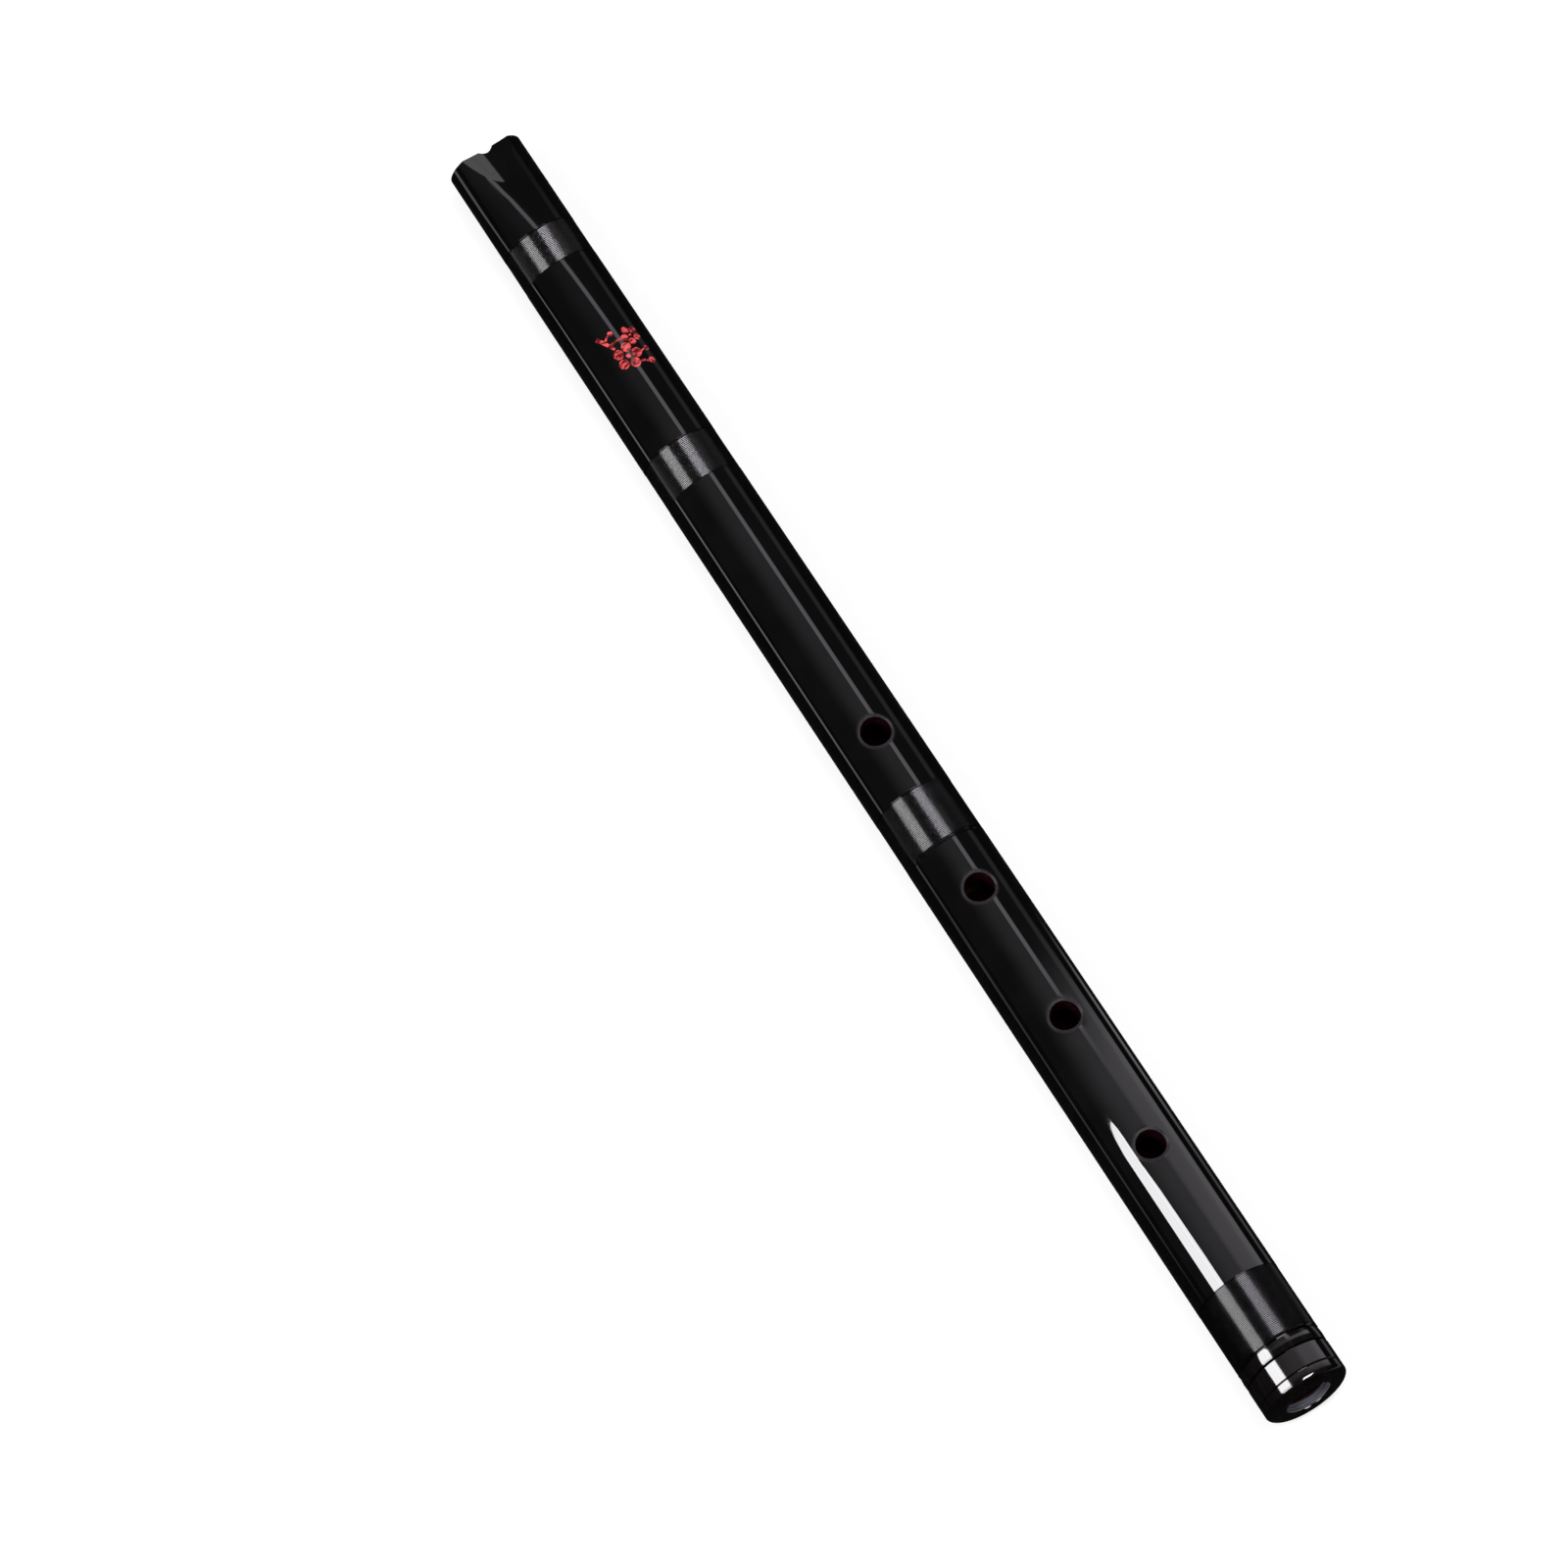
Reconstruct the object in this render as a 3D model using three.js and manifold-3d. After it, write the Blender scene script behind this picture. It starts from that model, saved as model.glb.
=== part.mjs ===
// A two-piece shakuhachi, an end-blown flute, lying with its finger holes up.
// Millimetres, +Z up, +X towards the foot. Stations run down the tube from the mouth rim.

import * as THREE from 'three';
import { mergeVertices } from 'three/addons/utils/BufferGeometryUtils.js';
import Module from 'manifold-3d';

const wasm = await Module();
wasm.setup();

// The tube and its bore
const upperLength = 307.1;
const lowerLength = 237.9;
const mouthDiameter = 28;
const footDiameter = 32.8;
const mouthWall = 4.2;
const throatWall = 7.87;
const footWall = 7.6;
const throatAboveFoot = 75;
const liningWall = 0.8;

// Clearances: one between seated pieces, and one overrun for every cut
const fitGap = 0.3;
const overrun = 2;

// The mouth: a scooped cut on the front that leaves the blowing edge
const scoopLength = 16;
const scoopRadius = 43.1;
const edgeDepth = 1.6;
const inlayRimWidth = 13;
const inlayTipWidth = 7;
const inlayLength = 10.5;

// The five holes: four in front and one for the thumb behind
const fingerHoleDiameter = 11;
const thumbHoleDiameter = 10.4;
const thumbAboveJoint = 76.7;
const fourthHoleAboveJoint = 47.7;
const thirdHoleBelowJoint = 20.8;
const holeSpacing = 56.5;

// The middle joint: a tenon fixed in the lower half, and a lined socket in the upper half
const socketDepth = 30;
const socketWall = 0.8;
const tenonWall = 1.4;
const tenonSeat = 13;
const tenonChamfer = 0.5;

// The bindings: thread laid in turned grooves, just under the surface of the tube
const threadDiameter = 1.2;
const threadRecess = 0.1;
const threadBend = 0.8;
const mouthBindingStart = 36.4;
const mouthBindingWidth = 14.6;
const mouthBindingTurns = 5;
const upperBindingStart = 129.6;
const upperBindingWidth = 17;
const upperBindingTurns = 6;
const jointBindingWidth = 21.4;
const jointBindingTurns = 8;
const jointRim = 1.2;
const footBindingWidth = 26;
const footBindingTurns = 11;
const footRim = 0.9;

// The foot: a bead ring and a domed end ring on a turned spigot
const beadWidth = 5.4;
const beadCrown = 0.45;
const footRingLength = 13.7;
const footRingChamfer = 0.35;
const footLipLength = 4.9;
const footLineWidth = 0.5;
const footLineDepth = 0.4;
const footDomeHeight = 1.8;
const footLandWidth = 2.6;
const endPlate = 3.8;
const spigotInset = 3.6;

// How finely the round forms are cut
const tubeSides = 48;
const holeSides = 32;
const pocketSides = 12;
const scoopSides = 120;
const crownSteps = 4;
const turnSteps = 24;
const threadSides = 6;
const bendSteps = 2;

// Sizes that follow from the ones above
const tubeLength = upperLength + lowerLength;
const mouthRadius = mouthDiameter / 2;
const footRadius = footDiameter / 2;
const threadRadius = threadDiameter / 2;
const throatStation = tubeLength - throatAboveFoot;
const mouthBore = mouthDiameter - 2 * mouthWall;
const throatBore = 2 * (outerRadius(throatStation) - throatWall);
const footBore = footDiameter - 2 * footWall;
const socketStart = upperLength - socketDepth;
const seatEnd = upperLength + tenonSeat;
const footRingStart = tubeLength - footRingLength;
const beadStart = footRingStart - fitGap - beadWidth;
const footShoulder = beadStart - fitGap;
const spigotEnd = tubeLength - endPlate - fitGap;
const spigotRadius = outerRadius(footShoulder) - spigotInset;
const tenonTip = socketStart + fitGap;
const tenonRadius = boreRadius(tenonTip) + tenonWall;
const socketRadius = tenonRadius + fitGap + socketWall;
const thirdHole = upperLength + thirdHoleBelowJoint;
const chordDip = footRadius * (1 - Math.cos(Math.PI / turnSteps));
const grooveDepth = threadRecess + threadDiameter + chordDip + fitGap;

const upperHoles = [
  { station: upperLength - fourthHoleAboveJoint, diameter: fingerHoleDiameter, side: 1 },
  { station: upperLength - thumbAboveJoint, diameter: thumbHoleDiameter, side: -1 },
];
const lowerHoles = [0, 1, 2].map((place) => (
  { station: thirdHole + place * holeSpacing, diameter: fingerHoleDiameter, side: 1 }
));
const mouthGroove = { start: mouthBindingStart, width: mouthBindingWidth, turns: mouthBindingTurns };
const upperGroove = { start: upperBindingStart, width: upperBindingWidth, turns: upperBindingTurns };
const jointGroove = {
  start: upperLength - jointRim - jointBindingWidth,
  width: jointBindingWidth,
  turns: jointBindingTurns,
};
const footGroove = {
  start: footShoulder - footRim - footBindingWidth,
  width: footBindingWidth,
  turns: footBindingTurns,
};

// The outside is one straight taper from the mouth to the foot
function outerRadius(station) {
  return mouthRadius + (footRadius - mouthRadius) * station / tubeLength;
}

// The bore narrows to a throat in the lower half and opens again to the foot
function boreRadius(station) {
  if (station < throatStation) {
    return THREE.MathUtils.lerp(mouthBore, throatBore, station / throatStation) / 2;
  }
  const belowThroat = (station - throatStation) / throatAboveFoot;
  return THREE.MathUtils.lerp(throatBore, footBore, belowThroat) / 2;
}

// Where the wooden wall begins, outside the lining
function wallRadius(station) {
  return boreRadius(station) + liningWall + fitGap;
}

// A closed outline of [radius, station] points, turned round the tube's axis.
// The flats of the facets lie at the true radius, with one flat straight down.
function turned(outline) {
  const stretch = 1 / Math.cos(Math.PI / tubeSides);
  const points = [...outline, outline[0]].map(([radius, station]) => (
    new THREE.Vector2(radius * stretch, station)
  ));
  const geometry = new THREE.LatheGeometry(points, tubeSides, -Math.PI / tubeSides);
  geometry.rotateZ(-Math.PI / 2);
  return geometry;
}

function toSolid(geometry) {
  const bare = geometry.clone();
  bare.deleteAttribute('normal');
  bare.deleteAttribute('uv');
  const merged = mergeVertices(bare);
  return new wasm.Manifold(new wasm.Mesh({
    numProp: 3,
    vertProperties: new Float32Array(merged.attributes.position.array),
    triVerts: new Uint32Array(merged.index.array),
  }));
}

function toGeometry(solid) {
  const mesh = solid.getMesh();
  const geometry = new THREE.BufferGeometry();
  geometry.setAttribute('position', new THREE.BufferAttribute(mesh.vertProperties, 3));
  geometry.setIndex(new THREE.BufferAttribute(mesh.triVerts, 1));
  geometry.computeVertexNormals();
  return geometry;
}

// An upright round cutter over a hole, from inside the bore to outside the tube
function holeCutter(hole) {
  const radius = hole.diameter / 2 / Math.cos(Math.PI / holeSides);
  const height = outerRadius(hole.station) + overrun;
  const geometry = new THREE.CylinderGeometry(radius, radius, height, holeSides);
  geometry.rotateX(Math.PI / 2);
  geometry.translate(hole.station, 0, hole.side * height / 2);
  return toSolid(geometry);
}

// The scoop is part of a wide cylinder. Its lowest line runs from the blowing edge
// at the bore up to the scoop's tip on the outside of the tube.
function scoopCutter() {
  const edgeHeight = boreRadius(edgeDepth);
  const rise = outerRadius(scoopLength) - edgeHeight;
  const slope = Math.atan2(rise, scoopLength - edgeDepth);
  const reach = 2 * (scoopLength + overrun + mouthDiameter);
  const geometry = new THREE.CylinderGeometry(scoopRadius, scoopRadius, reach, scoopSides);
  geometry.rotateZ(-Math.PI / 2);
  geometry.translate(0, 0, scoopRadius);
  geometry.rotateY(-slope);
  geometry.translate(edgeDepth, 0, edgeHeight);
  return toSolid(geometry);
}

// The inlay's outline seen from the front: wide at the rim and narrow at its tip
function inlayBlock(clearance) {
  const rimHalf = inlayRimWidth / 2 + clearance;
  const tipHalf = inlayTipWidth / 2 + clearance;
  const tip = inlayLength + clearance;
  const outline = new THREE.Shape([
    new THREE.Vector2(-overrun, -rimHalf),
    new THREE.Vector2(tip, -tipHalf),
    new THREE.Vector2(tip, tipHalf),
    new THREE.Vector2(-overrun, rimHalf),
  ]);
  const height = mouthRadius + overrun;
  return toSolid(new THREE.ExtrudeGeometry(outline, { depth: height, bevelEnabled: false }));
}

// Where a thread runs: its middle line's radius at a station
function threadLine(station) {
  return outerRadius(station) - threadRecess - threadRadius;
}

// First and last stations of a thread's middle line in its groove
function threadSpan(groove) {
  const margin = fitGap + threadRadius;
  return [groove.start + margin, groove.start + groove.width - margin];
}

// Two pockets in the groove's floor, at the back, that take the ends of the thread
function pocketCutters(groove) {
  const sideways = [-threadBend, threadBend];
  return threadSpan(groove).map((station, end) => {
    const top = threadLine(station);
    const bottom = top - threadBend - threadDiameter - fitGap;
    const radius = (threadRadius + fitGap) / Math.cos(Math.PI / pocketSides);
    const geometry = new THREE.CylinderGeometry(radius, radius, top - bottom, pocketSides);
    geometry.rotateX(Math.PI / 2);
    geometry.translate(station, sideways[end], -(top + bottom) / 2);
    return toSolid(geometry);
  });
}

// The stepped part of a tube's outline where a groove is turned in it
function grooveOutline(groove) {
  const end = groove.start + groove.width;
  return [
    [outerRadius(groove.start), groove.start],
    [outerRadius(groove.start) - grooveDepth, groove.start],
    [outerRadius(end) - grooveDepth, end],
    [outerRadius(end), end],
  ];
}

function cutAll(solid, cutters) {
  return cutters.reduce((left, cutter) => left.subtract(cutter), solid);
}

function upperTube() {
  const counterbore = socketRadius + fitGap;
  const blank = toSolid(turned([
    [mouthRadius, 0],
    ...grooveOutline(mouthGroove),
    ...grooveOutline(upperGroove),
    ...grooveOutline(jointGroove),
    [outerRadius(upperLength), upperLength],
    [counterbore, upperLength],
    [counterbore, socketStart],
    [wallRadius(socketStart), socketStart],
    [wallRadius(0), 0],
  ]));
  return toGeometry(cutAll(blank, [
    scoopCutter(),
    inlayBlock(fitGap),
    ...upperHoles.map(holeCutter),
    ...[mouthGroove, upperGroove, jointGroove].flatMap(pocketCutters),
  ]));
}

function lowerTube() {
  const start = upperLength + fitGap;
  const seatRadius = tenonRadius + fitGap;
  const blank = toSolid(turned([
    [outerRadius(start), start],
    ...grooveOutline(footGroove),
    [outerRadius(footShoulder), footShoulder],
    [spigotRadius, footShoulder],
    [spigotRadius, spigotEnd],
    [wallRadius(spigotEnd), spigotEnd],
    [wallRadius(throatStation), throatStation],
    [wallRadius(seatEnd), seatEnd],
    [seatRadius, seatEnd],
    [seatRadius, start],
  ]));
  return toGeometry(cutAll(blank, [
    ...lowerHoles.map(holeCutter),
    ...pocketCutters(footGroove),
  ]));
}

function upperLining() {
  const blank = toSolid(turned([
    [boreRadius(0) + liningWall, 0],
    [boreRadius(socketStart) + liningWall, socketStart],
    [boreRadius(socketStart), socketStart],
    [boreRadius(0), 0],
  ]));
  return toGeometry(cutAll(blank, [
    scoopCutter(),
    inlayBlock(fitGap),
    ...upperHoles.map(holeCutter),
  ]));
}

function lowerLining() {
  const start = seatEnd + fitGap;
  const blank = toSolid(turned([
    [boreRadius(start) + liningWall, start],
    [boreRadius(throatStation) + liningWall, throatStation],
    [boreRadius(spigotEnd) + liningWall, spigotEnd],
    [boreRadius(spigotEnd), spigotEnd],
    [boreRadius(throatStation), throatStation],
    [boreRadius(start), start],
  ]));
  return toGeometry(cutAll(blank, lowerHoles.map(holeCutter)));
}

// The horn inlay fills the wall from the bore to the scoop, so its top edge is the blowing edge
function blowingEdgeInlay() {
  const wall = toSolid(turned([
    [mouthRadius, 0],
    [outerRadius(scoopLength), scoopLength],
    [boreRadius(scoopLength), scoopLength],
    [boreRadius(0), 0],
  ]));
  return toGeometry(wall.intersect(inlayBlock(0)).subtract(scoopCutter()));
}

function socketSleeve() {
  const inner = tenonRadius + fitGap;
  const start = socketStart + fitGap;
  const end = upperLength - fitGap;
  return turned([
    [socketRadius, start],
    [socketRadius, end],
    [inner, end],
    [inner, start],
  ]);
}

function tenonSleeve() {
  const end = seatEnd;
  return turned([
    [tenonRadius - tenonChamfer, tenonTip],
    [tenonRadius, tenonTip + tenonChamfer],
    [tenonRadius, end],
    [boreRadius(end), end],
    [boreRadius(tenonTip), tenonTip],
  ]);
}

// The bead is crowned: its middle lies level with the tube
function footBeadRing() {
  const inner = spigotRadius + fitGap;
  const crown = [];
  for (let step = 0; step <= crownSteps; step += 1) {
    const across = step / crownSteps;
    const station = beadStart + across * beadWidth;
    const drop = beadCrown * (2 * across - 1) ** 2;
    crown.push([outerRadius(station) - drop, station]);
  }
  return turned([...crown, [inner, beadStart + beadWidth], [inner, beadStart]]);
}

// The end ring covers the spigot. A turned line sets off its lip, and its end is a low dome
// that flattens to a narrow land round the bore.
function footEndRing() {
  const socket = spigotRadius + fitGap;
  const plateStart = tubeLength - endPlate;
  const lipStart = tubeLength - footLipLength;
  const domeStart = tubeLength - footDomeHeight;
  const landRadius = footBore / 2 + footLandWidth;
  const rimRadius = outerRadius(domeStart);
  const dome = [];
  for (let step = 0; step <= crownSteps; step += 1) {
    const angle = step / crownSteps * Math.PI / 2;
    dome.push([
      landRadius + (rimRadius - landRadius) * Math.cos(angle),
      domeStart + footDomeHeight * Math.sin(angle),
    ]);
  }
  return turned([
    [outerRadius(footRingStart) - footRingChamfer, footRingStart],
    [outerRadius(footRingStart), footRingStart + footRingChamfer],
    [outerRadius(lipStart), lipStart - footLineWidth],
    [outerRadius(lipStart) - footLineDepth, lipStart - footLineWidth / 2],
    [outerRadius(lipStart), lipStart],
    ...dome,
    [footBore / 2, tubeLength],
    [boreRadius(plateStart), plateStart],
    [socket, plateStart],
    [socket, footRingStart],
  ]);
}

// Outward from the axis after a turn from straight down, and the way that the thread runs there
function outwardAt(turn) {
  return new THREE.Vector3(0, Math.sin(turn), -Math.cos(turn));
}

function forwardAt(turn) {
  return new THREE.Vector3(0, Math.cos(turn), Math.sin(turn));
}

// One end of a thread, from the foot of its pocket up to the bend that leads into the first turn.
// Each place holds a middle point and the direction of the thread's outer face.
function threadEnd(station, sideways) {
  const outward = outwardAt(0);
  const inward = forwardAt(0).multiplyScalar(sideways);
  const corner = threadLine(station) - threadBend;
  const placeAt = (height, offset) => new THREE.Vector3(station, 0, 0)
    .addScaledVector(outward, height)
    .addScaledVector(inward, offset);
  const places = [{ point: placeAt(corner - threadDiameter, threadBend), face: inward }];
  for (let step = 0; step < bendSteps; step += 1) {
    const bend = step / bendSteps * Math.PI / 2;
    places.push({
      point: placeAt(corner + threadBend * Math.sin(bend), threadBend * Math.cos(bend)),
      face: new THREE.Vector3()
        .addScaledVector(outward, Math.sin(bend))
        .addScaledVector(inward, Math.cos(bend)),
    });
  }
  return places;
}

// The way of one thread: out of its pocket, round the groove turn by turn, and down again
function threadPlaces(groove) {
  const [first, last] = threadSpan(groove);
  const steps = groove.turns * turnSteps;
  const places = threadEnd(first, -1);
  for (let step = 0; step <= steps; step += 1) {
    const station = THREE.MathUtils.lerp(first, last, step / steps);
    const face = outwardAt(step / turnSteps * 2 * Math.PI);
    const point = new THREE.Vector3(station, 0, 0).addScaledVector(face, threadLine(station));
    places.push({ point, face });
  }
  return [...places, ...threadEnd(last, 1).reverse()];
}

function winding(name, groove) {
  const axial = new THREE.Vector3(1, 0, 0);
  const places = threadPlaces(groove);
  const corners = places.flatMap(({ point, face }) => (
    Array.from({ length: threadSides }, (_, corner) => {
      const angle = corner / threadSides * 2 * Math.PI;
      return point.clone()
        .addScaledVector(face, threadRadius * Math.cos(angle))
        .addScaledVector(axial, threadRadius * Math.sin(angle));
    })
  ));
  reportLeastGap(name, corners);
  const triangles = [];
  for (let ring = 0; ring + 1 < places.length; ring += 1) {
    for (let corner = 0; corner < threadSides; corner += 1) {
      const here = ring * threadSides + corner;
      const next = ring * threadSides + (corner + 1) % threadSides;
      triangles.push(here, here + threadSides, next);
      triangles.push(next, here + threadSides, next + threadSides);
    }
  }
  const lastRing = (places.length - 1) * threadSides;
  for (let corner = 1; corner + 1 < threadSides; corner += 1) {
    triangles.push(0, corner, corner + 1);
    triangles.push(lastRing, lastRing + corner + 1, lastRing + corner);
  }
  const geometry = new THREE.BufferGeometry().setFromPoints(corners);
  geometry.setIndex(triangles);
  geometry.computeVertexNormals();
  return geometry;
}

// The least gap between a thread's own turns, measured between the points of its skin
function reportLeastGap(name, corners) {
  const halfTurn = turnSteps / 2 * threadSides;
  let least = Infinity;
  for (let here = 0; here < corners.length; here += 1) {
    for (let there = here + halfTurn; there < corners.length; there += 1) {
      least = Math.min(least, corners[here].distanceTo(corners[there]));
    }
  }
  console.log(`${name}: least gap to itself ${least.toFixed(2)} mm`);
}

const blackLacquer = { color: 0x131112, roughness: 0.12, metalness: 0 };
const redLacquer = { color: 0x3a0d10, roughness: 0.25, metalness: 0 };
const blackHorn = { color: 0x1b191a, roughness: 0.2, metalness: 0 };
const lacqueredThread = { color: 0x2a282b, roughness: 0.45, metalness: 0 };
const lacqueredTenon = { color: 0x4a1712, roughness: 0.35, metalness: 0 };

function part(name, geometry, finish) {
  const mesh = new THREE.Mesh(geometry, new THREE.MeshStandardMaterial(finish));
  mesh.name = name;
  return mesh;
}

const upperHalf = new THREE.Group();
upperHalf.add(
  part('upper_tube', upperTube(), blackLacquer),
  part('upper_bore_lining', upperLining(), redLacquer),
  part('blowing_edge_inlay', blowingEdgeInlay(), blackHorn),
  part('mouth_binding', winding('mouth_binding', mouthGroove), lacqueredThread),
  part('upper_binding', winding('upper_binding', upperGroove), lacqueredThread),
  part('joint_binding', winding('joint_binding', jointGroove), lacqueredThread),
  part('socket_sleeve', socketSleeve(), redLacquer),
);

const lowerHalf = new THREE.Group();
lowerHalf.add(
  part('tenon_sleeve', tenonSleeve(), lacqueredTenon),
  part('lower_tube', lowerTube(), blackLacquer),
  part('lower_bore_lining', lowerLining(), redLacquer),
  part('foot_binding', winding('foot_binding', footGroove), lacqueredThread),
  part('foot_bead_ring', footBeadRing(), blackHorn),
  part('foot_end_ring', footEndRing(), blackHorn),
);

// The tapered tube lies on its back line, so its axis rises a little towards the foot
const rise = Math.atan2(footRadius - mouthRadius, tubeLength);
const shakuhachi = new THREE.Group();
shakuhachi.add(upperHalf, lowerHalf);
shakuhachi.rotation.y = -rise;
shakuhachi.position.set(-tubeLength / 2 * Math.cos(rise), 0, mouthRadius * Math.cos(rise));

export default shakuhachi;
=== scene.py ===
import math

import bmesh
import bpy
from mathutils import Matrix, Vector


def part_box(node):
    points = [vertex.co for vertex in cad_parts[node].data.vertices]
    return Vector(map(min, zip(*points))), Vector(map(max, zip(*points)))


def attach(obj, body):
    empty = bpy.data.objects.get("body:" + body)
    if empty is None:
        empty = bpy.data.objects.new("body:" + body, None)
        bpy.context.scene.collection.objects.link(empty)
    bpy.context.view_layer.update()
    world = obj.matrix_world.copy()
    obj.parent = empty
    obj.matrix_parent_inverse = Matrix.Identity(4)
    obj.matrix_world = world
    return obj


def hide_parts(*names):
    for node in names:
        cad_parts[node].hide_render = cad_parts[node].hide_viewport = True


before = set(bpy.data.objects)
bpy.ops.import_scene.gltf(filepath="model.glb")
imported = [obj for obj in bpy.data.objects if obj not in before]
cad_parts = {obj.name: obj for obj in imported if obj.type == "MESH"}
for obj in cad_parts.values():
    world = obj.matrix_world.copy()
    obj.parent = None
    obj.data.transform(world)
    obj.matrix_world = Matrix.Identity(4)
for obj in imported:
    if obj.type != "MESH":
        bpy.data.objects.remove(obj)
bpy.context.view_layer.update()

print("frame:", len(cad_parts), "nodes")

# The tube in millimetres. Stations run from the mouth rim to the foot, along the tube's own axis.
tube = {
    "length": 545,
    "seam": 307.1,
    "mouthRadius": 14,
    "footRadius": 16.4,
    "mouthBore": 9.8,
    "throatBore": 8.2,
    "footBore": 8.8,
    "throat": 470,
    "lining": 0.8,
    "gap": 0.3,
    "snug": 0.02,
    "sides": 192,
    "innerSides": 128,
    "roundSteps": 4,
    "rimRound": 0.35,
    "edgeRound": 0.08,
    "rimBevel": 0.6,
}
millimetre = 0.001
rise = math.atan2(tube["footRadius"] - tube["mouthRadius"], tube["length"])
mouthEnd = Vector((-tube["length"] / 2, 0, tube["mouthRadius"])) * math.cos(rise) * millimetre
place = Matrix.Translation(mouthEnd) @ Matrix.Rotation(-rise, 4, "Y") @ Matrix.Scale(millimetre, 4)


def blendOf(a, b, share):
    return a + (b - a) * share


def outerRadius(station):
    return blendOf(tube["mouthRadius"], tube["footRadius"], station / tube["length"])


def boreRadius(station):
    if station < tube["throat"]:
        return blendOf(tube["mouthBore"], tube["throatBore"], station / tube["throat"])
    below = (station - tube["throat"]) / (tube["length"] - tube["throat"])
    return blendOf(tube["throatBore"], tube["footBore"], below)


def wallRadius(station):
    return boreRadius(station) + tube["lining"] + tube["snug"]


# First and last station of a CAD node
def stationsOf(node):
    low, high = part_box(node)
    back = place.inverted()
    return [(back @ Vector((end, 0, 0))).x for end in (low.x, high.x)]


# Holes: the rim is bevelled evenly, so its lip follows the round of the tube
holes = {
    "finger": 5.5,
    "thumb": 5.2,
    # each hole of a half: its station, its kind, and 1 for the front or -1 for the back
    "upper": [(259.4, "finger", 1), (230.4, "thumb", -1)],
    "lower": [(327.9, "finger", 1), (384.4, "finger", 1), (440.9, "finger", 1)],
    "sides": 96,
    "floor": 2,
    "clear": 2.4,
    # how deep the tube's own black reaches into the hole
    "blackRim": 1.25,
    # how far each ring of the cutter stands outside the hole, and above the tube's surface
    "rim": [(0, -0.40), (0, -0.25), (0.45, -0.14), (0.9, -0.03), (1.1, 0.03), (1.3, 1.2)],
}


# A socket of a node tree that can be used in sums
class Wire:
    def __init__(self, finish, socket):
        self.finish = finish
        self.socket = socket

    def math(self, operation, *others):
        values = dict(enumerate((self, *others)))
        return self.finish.node("Math", {"operation": operation}, values)

    def reflected(self, operation, first):
        return self.finish.node("Math", {"operation": operation}, {0: first, 1: self})

    def __add__(self, other):
        return self.math("ADD", other)

    def __sub__(self, other):
        return self.math("SUBTRACT", other)

    def __mul__(self, other):
        return self.math("MULTIPLY", other)

    def __truediv__(self, other):
        return self.math("DIVIDE", other)

    def __radd__(self, first):
        return self.reflected("ADD", first)

    def __rsub__(self, first):
        return self.reflected("SUBTRACT", first)

    def __rmul__(self, first):
        return self.reflected("MULTIPLY", first)


# A node tree under construction: a material's, or the world's
class Finish:
    def __init__(self, holder):
        self.holder = holder
        holder.use_nodes = True
        self.tree = holder.node_tree
        self.tree.nodes.clear()

    def node(self, kind, settings=None, values=None, output=0):
        made = self.tree.nodes.new("ShaderNode" + kind)
        for name, value in (settings or {}).items():
            setattr(made, name, value)
        for name, value in (values or {}).items():
            if isinstance(value, Wire):
                self.tree.links.new(value.socket, made.inputs[name])
            else:
                made.inputs[name].default_value = value
        return Wire(self, made.outputs[output]) if made.outputs else None

    def spot(self):
        return self.node("TexCoord", output="Object")

    def stretched(self, scale, turn=(0, 0, 0)):
        values = {"Vector": self.spot(), "Scale": scale, "Rotation": turn}
        return self.node("Mapping", values=values)

    def noise(self, scale, detail, vector=None, roughness=0.5):
        values = {"Vector": vector or self.spot(), "Scale": scale}
        values |= {"Detail": detail, "Roughness": roughness}
        return self.node("TexNoise", values=values)

    def ramp(self, value, low, high, atLow=0.0, atHigh=1.0, soft=True):
        settings = {"interpolation_type": "SMOOTHSTEP" if soft else "LINEAR", "clamp": True}
        values = {"Value": value, "From Min": low, "From Max": high}
        values |= {"To Min": atLow, "To Max": atHigh}
        return self.node("MapRange", settings, values)

    # The three coordinates of a spot on the piece
    def axes(self):
        spot = self.spot()
        return [self.node("SeparateXYZ", values={0: spot}, output=axis) for axis in range(3)]

    # One between two values, and nothing beyond their soft edges
    def band(self, value, low, high, edge):
        return self.ramp(value, low - edge, low) * self.ramp(value, high, high + edge, 1, 0)

    def mix(self, share, a, b):
        return self.node("Mix", {"data_type": "RGBA"}, {0: share, 6: a, 7: b}, output=2)

    def bump(self, height, distance):
        return self.node("Bump", values={"Height": height, "Distance": distance, "Strength": 1.0})

    def gloss(self, **values):
        named = {name.replace("_", " "): value for name, value in values.items()}
        shader = self.node("BsdfPrincipled", values=named)
        self.node("OutputMaterial", values={"Surface": shader})
        return self.holder


def newFinish(name):
    return Finish(bpy.data.materials.new(name))


# Black lacquer: almost black, mirror-like, with the faint unevenness of polished coats. Round the
# holes the fingers have rubbed it dull, and there it is painted lighter gray: partly wear, partly a
# painted sheen for the light ring on each hole's lip. In the scoop it is a little softer.
lacquer = {
    "colour": (0.0018, 0.0016, 0.0018, 1),
    "coat": (0.0029, 0.0026, 0.0030, 1),
    # the rubbed rings' colour: finger wear together with a painted sheen
    "rubbed": (0.021, 0.019, 0.021, 1),
    "rubbedFrom": 0.6,
    "rubbedTo": 1.7,
    "dull": 0.20,
    "cloud": 60,
    "clouded": (0.35, 0.7),
    "gloss": (0.012, 0.032),
    "scoopGloss": (0.035, 0.06),
    "wipe": (18, 420, 420),
    "wiped": (0.3, 0.75),
    "wave": 70,
    "waveDepth": 0.000003,
    "index": 1.5,
}


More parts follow.
